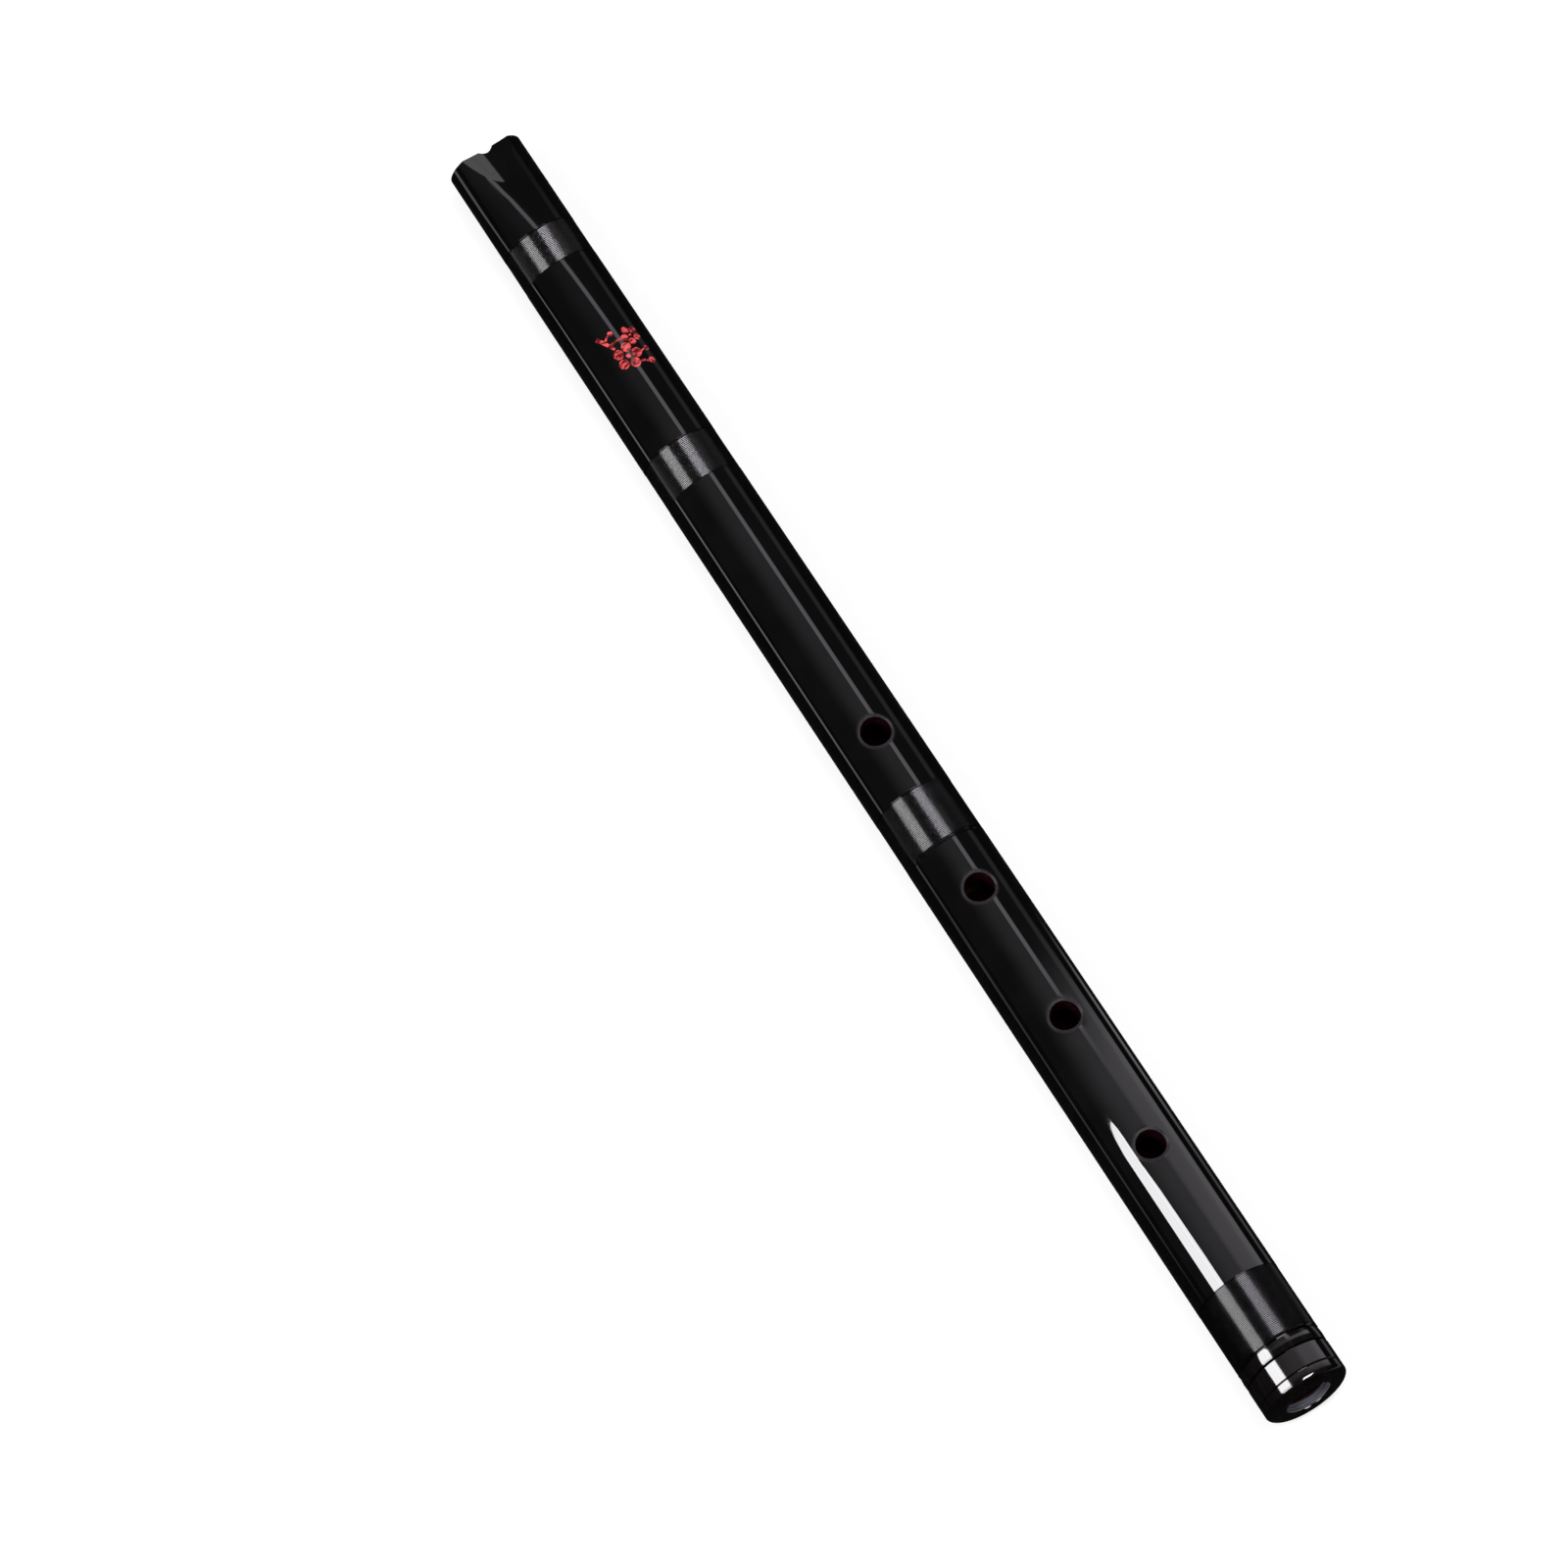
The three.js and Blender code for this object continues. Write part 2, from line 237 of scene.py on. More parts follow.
def blackLacquer(name, gloss):
    finish = newFinish(name)
    cloud = finish.noise(lacquer["cloud"], detail=2)
    wipes = finish.noise(1, detail=4, vector=finish.stretched(lacquer["wipe"]))
    swell = finish.noise(lacquer["wave"], detail=1)
    # a ring round each hole, rubbed dull and painted lighter as a painted sheen
    rubbed = 0
    for station, kind, side in holes["upper"] + holes["lower"]:
        middle = place @ Vector((station, 0, side * outerRadius(station)))
        ways = {0: finish.spot(), 1: middle}
        away = finish.node("VectorMath", {"operation": "DISTANCE"}, ways, output=1)
        ends = [(holes[kind] + lacquer[end]) * millimetre for end in ("rubbedFrom", "rubbedTo")]
        rubbed = rubbed + finish.ramp(away, *ends, 1, 0)
    clouded = finish.ramp(cloud, *lacquer["clouded"])
    coats = finish.mix(clouded, lacquer["colour"], lacquer["coat"])
    return finish.gloss(
        Base_Color=finish.mix(rubbed, coats, lacquer["rubbed"]),
        Roughness=finish.ramp(wipes, *lacquer["wiped"], *gloss) + rubbed * lacquer["dull"],
        Normal=finish.bump(swell, lacquer["waveDepth"]),
        IOR=lacquer["index"],
    )


# Dark red lacquer in the bore and in the holes, laid along the bore with a soft brush
boreFinish = {
    "colour": (0.021, 0.0018, 0.0040, 1),
    "deep": (0.012, 0.0011, 0.0026, 1),
    "brush": (12, 500, 500),
    "patch": 110,
    "shares": (0.6, 0.4),
    "uneven": (0.3, 0.7),
    "gloss": (0.14, 0.24),
    "depth": 0.000006,
}


def redLacquer():
    finish = newFinish("redLacquer")
    strokes = finish.noise(1, detail=5, vector=finish.stretched(boreFinish["brush"]))
    patches = finish.noise(boreFinish["patch"], detail=2)
    patchShare, strokeShare = boreFinish["shares"]
    laid = finish.ramp(patches * patchShare + strokes * strokeShare, *boreFinish["uneven"])
    return finish.gloss(
        Base_Color=finish.mix(laid, boreFinish["deep"], boreFinish["colour"]),
        Roughness=finish.ramp(strokes, *boreFinish["uneven"], *boreFinish["gloss"]),
        Normal=finish.bump(strokes, boreFinish["depth"]),
    )


# Polished black horn: drawn-out brown-black streaks along the flute
horn = {
    "colour": (0.0024, 0.0020, 0.0021, 1),
    "streak": (0.0068, 0.0052, 0.0049, 1),
    "grain": (35, 600, 600),
    "streaked": (0.45, 0.72),
    "grained": (0.3, 0.75),
    "gloss": (0.05, 0.11),
    "depth": 0.000002,
    "index": 1.52,
}


def blackHorn():
    finish = newFinish("blackHorn")
    grain = finish.noise(1, detail=5, vector=finish.stretched(horn["grain"]))
    streaks = finish.ramp(grain, *horn["streaked"])
    return finish.gloss(
        Base_Color=finish.mix(streaks, horn["colour"], horn["streak"]),
        Roughness=finish.ramp(grain, *horn["grained"], *horn["gloss"]),
        Normal=finish.bump(grain, horn["depth"]),
        IOR=horn["index"],
    )


# The foot's own bore is left from the tool in fine rings. Their crests are painted light bluish
# gray, a painted highlight.
glintReamed = {
    "colour": (0.045, 0.045, 0.055, 1),
    # the painted highlight on the rings' crests
    "glintCrest": (0.25, 0.25, 0.30, 1),
    "rings": (2600, 55, 55),
    "harshness": 0.7,
    "glintCrests": (0.4, 0.65),
    "ringed": (0.3, 0.7),
    "gloss": (0.22, 0.42),
    "depth": 0.00006,
}


def glintReamedHorn():
    finish = newFinish("glintReamedHorn")
    lathe = finish.stretched(glintReamed["rings"])
    rings = finish.noise(1, detail=6, vector=lathe, roughness=glintReamed["harshness"])
    # where the painted highlight lies: on the rings' crests
    glintCrests = finish.ramp(rings, *glintReamed["glintCrests"])
    return finish.gloss(
        Base_Color=finish.mix(glintCrests, glintReamed["colour"], glintReamed["glintCrest"]),
        Roughness=finish.ramp(rings, *glintReamed["ringed"], *glintReamed["gloss"]),
        Normal=finish.bump(rings, glintReamed["depth"]),
    )


# Thread soaked in lacquer: twisted fibres under a gloss that is thicker towards the mouth
thread = {
    "colour": (0.0016, 0.0015, 0.0018, 1),
    "worn": (0.0034, 0.0032, 0.0040, 1),
    "fibre": (4000, 500, 500),
    "wear": 260,
    "wornFrom": (0.42, 0.72),
    "shares": (0.5, 0.5),
    "uneven": (0.35, 0.65),
    "gloss": (0.12, 0.17),
    "depth": 0.0000015,
    # the coat's weight at two places along the flute, in metres
    "coat": (0.85, 0),
    "coatEnds": (-0.23, 0.24),
    "coatGloss": 0.14,
}


def laidThread():
    finish = newFinish("laidThread")
    fibre = finish.noise(1, detail=2, vector=finish.stretched(thread["fibre"]))
    wear = finish.noise(thread["wear"], detail=3)
    along = finish.axes()[0]
    worn = finish.ramp(wear, *thread["wornFrom"])
    fibreShare, wearShare = thread["shares"]
    fuzz = fibre * fibreShare + wear * wearShare
    return finish.gloss(
        Base_Color=finish.mix(worn, thread["colour"], thread["worn"]),
        Roughness=finish.ramp(fuzz, *thread["uneven"], *thread["gloss"]),
        Coat_Weight=finish.ramp(along, *thread["coatEnds"], *thread["coat"], soft=False),
        Coat_Roughness=thread["coatGloss"],
        Normal=finish.bump(fibre, thread["depth"]),
    )


# The tenon's lacquer is rubbed thin where it slides
tenonFinish = {
    "colour": (0.045, 0.0065, 0.0045, 1),
    "rubbed": (0.135, 0.038, 0.020, 1),
    "scuff": (700, 40, 40),
    "patch": 140,
    "shares": (0.5, 0.5),
    "rubbedFrom": (0.46, 0.66),
    "scuffed": (0.3, 0.7),
    "gloss": (0.22, 0.42),
    "depth": 0.00001,
}


def tenonLacquer():
    finish = newFinish("tenonLacquer")
    scuffs = finish.noise(1, detail=5, vector=finish.stretched(tenonFinish["scuff"]))
    patches = finish.noise(tenonFinish["patch"], detail=3)
    scuffShare, patchShare = tenonFinish["shares"]
    rubbed = scuffs * scuffShare + patches * patchShare
    rubbed = finish.ramp(rubbed, *tenonFinish["rubbedFrom"])
    return finish.gloss(
        Base_Color=finish.mix(rubbed, tenonFinish["colour"], tenonFinish["rubbed"]),
        Roughness=finish.ramp(scuffs, *tenonFinish["scuffed"], *tenonFinish["gloss"]),
        Normal=finish.bump(scuffs, tenonFinish["depth"]),
    )


# Brushed red paint under the last thin coat
paint = {
    "colour": (0.90, 0.104, 0.112, 1),
    "thin": (0.15, 0.003, 0.005, 1),
    "stroke": (900, 350, 350),
    "slant": (0, 0, 0.6),
    "covered": (0.42, 0.60),
    "stroked": (0.3, 0.7),
    "gloss": (0.16, 0.30),
    "depth": 0.00001,
}


def redPaint():
    finish = newFinish("redPaint")
    brush = finish.stretched(paint["stroke"], paint["slant"])
    strokes = finish.noise(1, detail=4, vector=brush)
    covered = finish.ramp(strokes, *paint["covered"])
    return finish.gloss(
        Base_Color=finish.mix(covered, paint["thin"], paint["colour"]),
        Roughness=finish.ramp(strokes, *paint["stroked"], *paint["gloss"]),
        Normal=finish.bump(strokes, paint["depth"]),
    )


finishes = {
    "black": blackLacquer("blackLacquer", lacquer["gloss"]),
    "cut": blackLacquer("scoopLacquer", lacquer["scoopGloss"]),
    "red": redLacquer(),
    "horn": blackHorn(),
    "glintReamed": glintReamedHorn(),
    "thread": laidThread(),
    "tenon": tenonLacquer(),
    "paint": redPaint(),
}
print("finishes:", len(finishes))

# Vertices closer than this are one. Edges sharper than this many degrees stay sharp.
building = {"merge": 0.002, "sharp": 30, "threadSharp": 80, "filmSharp": 60, "levelWeight": 90}


# A closed outline of (station, radius, rounding) turned round the tube's axis
def turned(outline, sides=tube["sides"]):
    shape = bmesh.new()
    corners = [shape.verts.new((station, 0, radius)) for station, radius, _ in outline]
    for corner, following in zip(corners, corners[1:] + corners[:1]):
        shape.edges.new((corner, following))
    for corner, (_, _, rounding) in zip(corners, outline):
        if rounding:
            bmesh.ops.bevel(shape, geom=[corner], offset=rounding, offset_type="OFFSET",
                            affect="VERTICES", segments=tube["roundSteps"], profile=0.5,
                            material=-1)
    outlineParts = shape.verts[:] + shape.edges[:]
    bmesh.ops.spin(shape, geom=outlineParts, cent=(0, 0, 0), axis=(1, 0, 0), angle=math.tau,
                   steps=sides, use_merge=True)
    bmesh.ops.recalc_face_normals(shape, faces=shape.faces)
    return shape


def vertsOf(geometry):
    return [item for item in geometry if isinstance(item, bmesh.types.BMVert)]


def objectOf(shape, name, *materials):
    mesh = bpy.data.meshes.new(name)
    shape.to_mesh(mesh)
    shape.free()
    for material in materials:
        mesh.materials.append(material)
    made = bpy.data.objects.new(name, mesh)
    bpy.context.scene.collection.objects.link(made)
    return made


# Cuts a piece with others, or keeps what it shares with them. The cut takes the cutter's material.
def cut(piece, cutters, operation="DIFFERENCE"):
    for cutter in cutters:
        step = piece.modifiers.new(cutter.name, "BOOLEAN")
        step.operation = operation
        step.object = cutter
        step.solver = "EXACT"
        step.material_mode = "TRANSFER"
    bpy.context.view_layer.update()
    result = piece.evaluated_get(bpy.context.evaluated_depsgraph_get())
    mesh = bpy.data.meshes.new_from_object(result)
    piece.modifiers.clear()
    piece.data = mesh
    for cutter in cutters:
        bpy.data.objects.remove(cutter)
    return piece


# Puts a finished piece in its place in the frame, on its body, for its CAD node
def finishPiece(piece, body, node=None, sharp=building["sharp"]):
    print("made", piece.name)
    shape = bmesh.new()
    shape.from_mesh(piece.data)
    bmesh.ops.remove_doubles(shape, verts=shape.verts, dist=building["merge"])
    shape.transform(place)
    materials = enumerate(piece.data.materials)
    cuts = {number for number, material in materials if material == finishes["cut"]}
    for face in shape.faces:
        face.smooth = True
    for edge in shape.edges:
        kinds = {face.material_index for face in edge.link_faces}
        crisp = len(kinds) > 1 and kinds & cuts
        edge.smooth = not crisp and edge.calc_face_angle(0) < math.radians(sharp)
    shape.to_mesh(piece.data)
    shape.free()
    level = piece.modifiers.new("evenGloss", "WEIGHTED_NORMAL")
    level.keep_sharp = True
    level.weight = building["levelWeight"]
    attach(piece, body)
    if node:
        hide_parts(node)
    return piece


def holeCutter(station, kind, side):
    shape = bmesh.new()
    radius = holes[kind]
    rings = []
    levels = [(radius, None)] + [(radius + out, lift) for out, lift in holes["rim"]]
    for index, (size, lift) in enumerate(levels):
        end = index in (0, len(levels) - 1)
        made = bmesh.ops.create_circle(shape, cap_ends=end, segments=holes["sides"], radius=size)
        ring = made["verts"]
        for vert in ring:
            across = outerRadius(station + vert.co.x)
            surface = math.sqrt(across ** 2 - vert.co.y ** 2)
            height = holes["floor"] if lift is None else surface + lift
            vert.co = (station + vert.co.x, vert.co.y, side * height)
        rings.append(ring)
    for pair in zip(rings, rings[1:]):
        edges = []
        for ring in pair:
            edges += [edge for edge in shape.edges if all(vert in ring for vert in edge.verts)]
        bmesh.ops.bridge_loops(shape, edges=edges)
    bmesh.ops.recalc_face_normals(shape, faces=shape.faces)
    for face in shape.faces:
        middle = face.calc_center_median()
        surface = math.sqrt(outerRadius(station) ** 2 - middle.y ** 2)
        face.material_index = 0 if side * middle.z < surface - holes["blackRim"] else 1
    return objectOf(shape, "holeCutter", finishes["red"], finishes["black"])


def holeCutters(half):
    return [holeCutter(*hole) for hole in holes[half]]


# Extra rings on a tube's outline just clear of each hole, so that its lip stays clean
def holeRings(half, radiusAt, backwards=False):
    reach = [holes[kind] + holes["clear"] for _, kind, _ in holes[half]]
    spots = [spot for spot, _, _ in holes[half]]
    stations = [spot + way * size for spot, size in zip(spots, reach) for way in (-1, 1)]
    return [(station, radiusAt(station), 0) for station in sorted(stations, reverse=backwards)]


# The mouth: a scoop cut through the front of the wall, and the horn inlay of the blowing edge
mouth = {
    "scoopLength": 16,
    "scoopRadius": 43.1,
    "edgeDepth": 1.6,
    "scoopSides": 720,
    "scoopReach": 100,
    "inlayRim": 13,
    "inlayTip": 7,
    "inlayLength": 10.5,
    "inlayGap": 0.06,
    "above": 4,
}


def scoopCutter():
    edge = boreRadius(mouth["edgeDepth"])
    end = mouth["scoopLength"]
    slope = math.atan2(outerRadius(end) - edge, end - mouth["edgeDepth"])
    radius = mouth["scoopRadius"]
    lying = Matrix.Rotation(math.pi / 2, 4, "Y")
    sloping = Matrix.Rotation(-slope, 3, "Y")
    shape = bmesh.new()
    bmesh.ops.create_cone(shape, cap_ends=True, segments=mouth["scoopSides"], radius1=radius,
                          radius2=radius, depth=mouth["scoopReach"], matrix=lying)
    bmesh.ops.translate(shape, verts=shape.verts, vec=(0, 0, radius))
    bmesh.ops.rotate(shape, verts=shape.verts, cent=(0, 0, 0), matrix=sloping)
    bmesh.ops.translate(shape, verts=shape.verts, vec=(mouth["edgeDepth"], 0, edge))
    bmesh.ops.recalc_face_normals(shape, faces=shape.faces)
    return objectOf(shape, "scoopCutter", finishes["cut"])


def inlayBlock(clearance):
    shape = bmesh.new()
    rim, tip = mouth["inlayRim"] / 2 + clearance, mouth["inlayTip"] / 2 + clearance
    near, far = -mouth["above"], mouth["inlayLength"] + clearance
    spots = ((near, -rim, 0), (far, -tip, 0), (far, tip, 0), (near, rim, 0))
    base = shape.faces.new([shape.verts.new(spot) for spot in spots])
    raised = vertsOf(bmesh.ops.extrude_face_region(shape, geom=[base])["geom"])
    height = tube["mouthRadius"] + mouth["above"]
    bmesh.ops.translate(shape, verts=raised, vec=(0, 0, height))
    bmesh.ops.recalc_face_normals(shape, faces=shape.faces)
    return objectOf(shape, "inlayBlock", finishes["black"])


# The bindings' grooves, taken from where the CAD threads lie
binding = {
    "threads": {
        "mouth_binding": "mouthThread", "upper_binding": "upperThread",
        "joint_binding": "jointThread", "foot_binding": "footThread",
    },
    "pitch": 0.62,
    "overlap": 1.04,
    "depth": 1.1,
    "recess": 0.06,
    "steps": 80,
    "sides": 8,
    "dive": 0.5,
}
grooves = {}
for node in binding["threads"]:
    first, last = stationsOf(node)
    grooves[node] = (first - tube["gap"], last + tube["gap"])
print("grooves:", {node: [round(end, 1) for end in span] for node, span in grooves.items()})


def groove(node):
    start, end = grooves[node]
    edge = tube["edgeRound"]
    depth = binding["pitch"] * binding["depth"] + binding["recess"]
    return [
        (start, outerRadius(start), edge),
        (start, outerRadius(start) - depth, 0),
        (end, outerRadius(end) - depth, 0),
        (end, outerRadius(end), edge),
    ]


# The middle joint
joint = {
    "depth": 30,
    "tenonWall": 1.4,
    "seat": 13,
    "sleeve": 0.8,
    "tip": 0.5,
    "tipBore": 0.3,
    "sleeveRound": 0.25,
    # two lines turned in the tenon: how far they begin from its tip and from the seam
    "lines": (6, -4),
    "lineHalf": 0.25,
    "lineDepth": 0.2,
    "lineEdge": 0.05,
}
socketStart = tube["seam"] - joint["depth"]
seatEnd = tube["seam"] + joint["seat"]
tenonTip = socketStart + tube["gap"]
tenonRadius = boreRadius(tenonTip) + joint["tenonWall"]
sleeveRadius = tenonRadius + tube["gap"] + joint["sleeve"]

# The foot: a bead and a domed ring, from where the CAD rings lie
foot = {
    "inset": 3.6,
    "beadCrown": 0.15,
    "beadPoints": 12,
    "bevel": 0.45,
    "bevelDrop": 1.1,
    "skirtDrop": 1.4,
    "lip": 4.9,
    "line": 0.8,
    "lineDepth": 0.5,
    "dome": 2.5,
    "domePoints": 14,
    "land": 2.6,
    "plate": 3.8,
    "boreRound": 0.5,
    "boreSlack": 0.01,
}
beadStart, beadEnd = stationsOf("foot_bead_ring")
ringStart = stationsOf("foot_end_ring")[0]
shoulder = beadStart - tube["gap"]
spigotEnd = tube["length"] - foot["plate"] - tube["gap"]
spigotRadius = outerRadius(shoulder) - foot["inset"]
print("foot rings:", [round(station, 2) for station in (beadStart, beadEnd, ringStart)])


def upperTube():
    seam = tube["seam"]
    bore = sleeveRadius + tube["snug"]
    outline = [
        (0, tube["mouthRadius"], tube["rimRound"]),
        *groove("mouth_binding"),
        *groove("upper_binding"),
        *holeRings("upper", outerRadius),
        *groove("joint_binding"),
        (seam - tube["rimBevel"], outerRadius(seam), 0),
        (seam, outerRadius(seam) - tube["rimBevel"], 0),
        (seam, bore, 0),
        (socketStart, bore, 0),
        (socketStart, wallRadius(socketStart), 0),
        *holeRings("upper", wallRadius, backwards=True),
        (0, wallRadius(0), 0),
    ]
    piece = objectOf(turned(outline), "upperTube", finishes["black"])
    cut(piece, [scoopCutter(), inlayBlock(mouth["inlayGap"]), *holeCutters("upper")])
    return finishPiece(piece, "upper_half", "upper_tube")


def lowerTube():
    start = tube["seam"] + tube["snug"]
    seat = tenonRadius + tube["snug"]
    outline = [
        (start, outerRadius(start), tube["edgeRound"]),
        *holeRings("lower", outerRadius),
        *groove("foot_binding"),
        (shoulder - tube["rimBevel"], outerRadius(shoulder), 0),
        (shoulder, outerRadius(shoulder) - tube["rimBevel"], 0),
        (shoulder, spigotRadius, 0),
        (spigotEnd, spigotRadius, 0),
        (spigotEnd, wallRadius(spigotEnd), 0),
        (tube["throat"], wallRadius(tube["throat"]), 0),
        *holeRings("lower", wallRadius, backwards=True),
        (seatEnd, wallRadius(seatEnd), 0),
        (seatEnd, seat, 0),
        (start, seat, 0),
    ]
    piece = objectOf(turned(outline), "lowerTube", finishes["black"])
    cut(piece, holeCutters("lower"))
    return finishPiece(piece, "lower_half", "lower_tube")


def boreLining(half, stations, cutters):
    wall = tube["lining"]
    out = [(s, boreRadius(s) + wall, 0) for s in stations]
    ends = [(s, boreRadius(s), 0) for s in stations]
    inner = sorted([*holeRings(half, boreRadius), *ends], key=lambda corner: -corner[0])
    shape = turned([*out, *inner], sides=tube["innerSides"])
    piece = objectOf(shape, half + "Lining", finishes["red"])
    cut(piece, [*cutters, *holeCutters(half)])
    return finishPiece(piece, half + "_half", half + "_bore_lining")


def linings():
    boreLining("upper", [0, socketStart], [scoopCutter(), inlayBlock(mouth["inlayGap"])])
    boreLining("lower", [seatEnd + tube["gap"], tube["throat"], spigotEnd], [])


def blowingEdge():
    end = mouth["scoopLength"]
    outline = [
        (0, tube["mouthRadius"], tube["rimRound"]),
        (end, outerRadius(end), 0),
        (end, boreRadius(end), 0),
        (0, boreRadius(0), tube["edgeRound"]),
    ]
    piece = objectOf(turned(outline), "blowingEdge", finishes["horn"])
    cut(piece, [inlayBlock(0)], "INTERSECT")
    cut(piece, [scoopCutter()])
    return finishPiece(piece, "upper_half", "blowing_edge_inlay")


def footRings():
    inner = spigotRadius + tube["snug"]
    bevel, drop = foot["bevel"], foot["bevelDrop"]
    skirt = outerRadius(beadStart) - foot["skirtDrop"]
    skirtStart, skirtEnd = shoulder + tube["snug"], ringStart - tube["snug"]
    bead = [(skirtStart, inner, 0), (skirtStart, skirt, 0), (beadStart, skirt, 0)]
    bead.append((beadStart, outerRadius(beadStart) - drop, 0))
    for step in range(foot["beadPoints"] + 1):
        across = step / foot["beadPoints"]
        station = blendOf(beadStart + bevel, beadEnd - bevel, across)
        bead.append((station, outerRadius(station) - foot["beadCrown"] * (2 * across - 1) ** 2, 0))
    bead.append((beadEnd, outerRadius(beadEnd) - drop, 0))
    bead += [(beadEnd, skirt, 0), (skirtEnd, skirt, 0), (skirtEnd, inner, 0)]
    piece = objectOf(turned(bead), "footBead", finishes["horn"])
    finishPiece(piece, "lower_half", "foot_bead_ring")

    end = tube["length"]
    lip, domeStart = end - foot["lip"], end - foot["dome"]
    land, rim = tube["footBore"] + foot["land"], outerRadius(domeStart)
    dome = []
    for step in range(1, foot["domePoints"] + 1):
        angle = step / foot["domePoints"] * math.pi / 2
        station = domeStart + foot["dome"] * math.sin(angle)
        dome.append((station, land + (rim - land) * math.cos(angle), 0))
    plate = end - foot["plate"]
    outline = [
        (ringStart, outerRadius(ringStart) - drop, 0),
        (ringStart + bevel, outerRadius(ringStart + bevel), 0),
        (lip - foot["line"], outerRadius(lip - foot["line"]), 0),
        (lip - foot["line"] / 2, outerRadius(lip) - foot["lineDepth"], 0),
        (lip, outerRadius(lip), 0),
        (domeStart, rim, 0),
        *dome,
        (end, tube["footBore"], foot["boreRound"]),
        (plate, boreRadius(plate), 0),
        (plate, inner, 0),
        (ringStart, inner, 0),
    ]
    piece = objectOf(turned(outline), "footRing", finishes["horn"], finishes["glintReamed"])
    for face in piece.data.polygons:
        middle = face.center
        inBore = math.hypot(middle.y, middle.z) < tube["footBore"] + foot["boreSlack"]
        if inBore and middle.x < end - foot["boreRound"]:
            face.material_index = 1
    return finishPiece(piece, "lower_half", "foot_end_ring")


# The tenon has two fine turned lines. The sleeve lines its socket.
def middleJoint():
    outline = [(tenonTip, tenonRadius, joint["tip"])]
    half, edge = joint["lineHalf"], joint["lineEdge"]
    for line, origin in zip(joint["lines"], (tenonTip, tube["seam"])):
        spot = origin + line
        outline += [
            (spot, tenonRadius, edge),
            (spot + half, tenonRadius - joint["lineDepth"], 0),
            (spot + half * 2, tenonRadius, edge),
        ]
    outline += [
        (seatEnd, tenonRadius, 0),
        (seatEnd, boreRadius(seatEnd), 0),
        (tenonTip, boreRadius(tenonTip), joint["tipBore"]),
    ]
    shape = turned(outline, sides=tube["innerSides"])
    tenon = objectOf(shape, "tenonSleeve", finishes["tenon"])
    finishPiece(tenon, "tenon", "tenon_sleeve")

    inner, end = tenonRadius + tube["gap"], tube["seam"] - tube["gap"]
    outline = [
        (tenonTip, sleeveRadius, 0),
        (end, sleeveRadius, 0),
        (end, inner, joint["sleeveRound"]),
        (tenonTip, inner, 0),
    ]
    shape = turned(outline, sides=tube["innerSides"])
    sleeve = objectOf(shape, "socketSleeve", finishes["red"])
    return finishPiece(sleeve, "upper_half", "socket_sleeve")


# One thread laid turn beside turn, with both ends tucked in at the back
def winding(node, body):
    start, end = grooves[node]
    room = end - start
    turns = round(room / binding["pitch"])
    pitch = room / (turns + 1)
    radius = pitch / 2 * binding["overlap"]
    first = start + pitch / 2
    line = outerRadius(first) - binding["recess"] - radius
    shape = bmesh.new()
    lying = Matrix.Translation((first, 0, -line)) @ Matrix.Rotation(math.pi / 2, 4, "X")
    bmesh.ops.create_circle(shape, cap_ends=False, segments=binding["sides"], radius=radius,
                            matrix=lying)
    steps = binding["steps"]
    section = shape.verts[:] + shape.edges[:]
    bmesh.ops.spin(shape, geom=section, cent=(0, 0, 0), axis=(1, 0, 0), angle=math.tau,
                   dvec=(pitch / steps, 0, 0), steps=steps, use_merge=False)
    oneTurn = shape.verts[:] + shape.edges[:] + shape.faces[:]
    for turn in range(1, turns):
        added = vertsOf(bmesh.ops.duplicate(shape, geom=oneTurn)["geom"])
        bmesh.ops.translate(shape, verts=added, vec=(pitch * turn, 0, 0))
    bmesh.ops.remove_doubles(shape, verts=shape.verts, dist=building["merge"])
    ends = [edge for edge in shape.edges if edge.is_boundary]
    middle = first + pitch * turns / 2
    opening = [edge for edge in ends if edge.verts[0].co.x < middle]
    closing = [edge for edge in ends if edge.verts[0].co.x > middle]
    for vert in shape.verts:
        grown = outerRadius(vert.co.x) / outerRadius(first)
        vert.co.y *= grown
        vert.co.z *= grown
    for edges, way in ((opening, -1), (closing, 1)):
        drawn = bmesh.ops.extrude_edge_only(shape, edges=edges)["geom"]
        dive = (0, way * binding["dive"], binding["dive"])
        bmesh.ops.translate(shape, verts=vertsOf(drawn), vec=dive)
        rim = [item for item in drawn if isinstance(item, bmesh.types.BMEdge)]
        bmesh.ops.contextual_create(shape, geom=rim)
    bmesh.ops.recalc_face_normals(shape, faces=shape.faces)
    piece = objectOf(shape, binding["threads"][node], finishes["thread"])
    return finishPiece(piece, body, node, sharp=building["threadSharp"])


upperTube()
lowerTube()
linings()
blowingEdge()
footRings()
middleJoint()
for node in binding["threads"]:
    winding(node, "lower_half" if node == "foot_binding" else "upper_half")
print("pieces made")


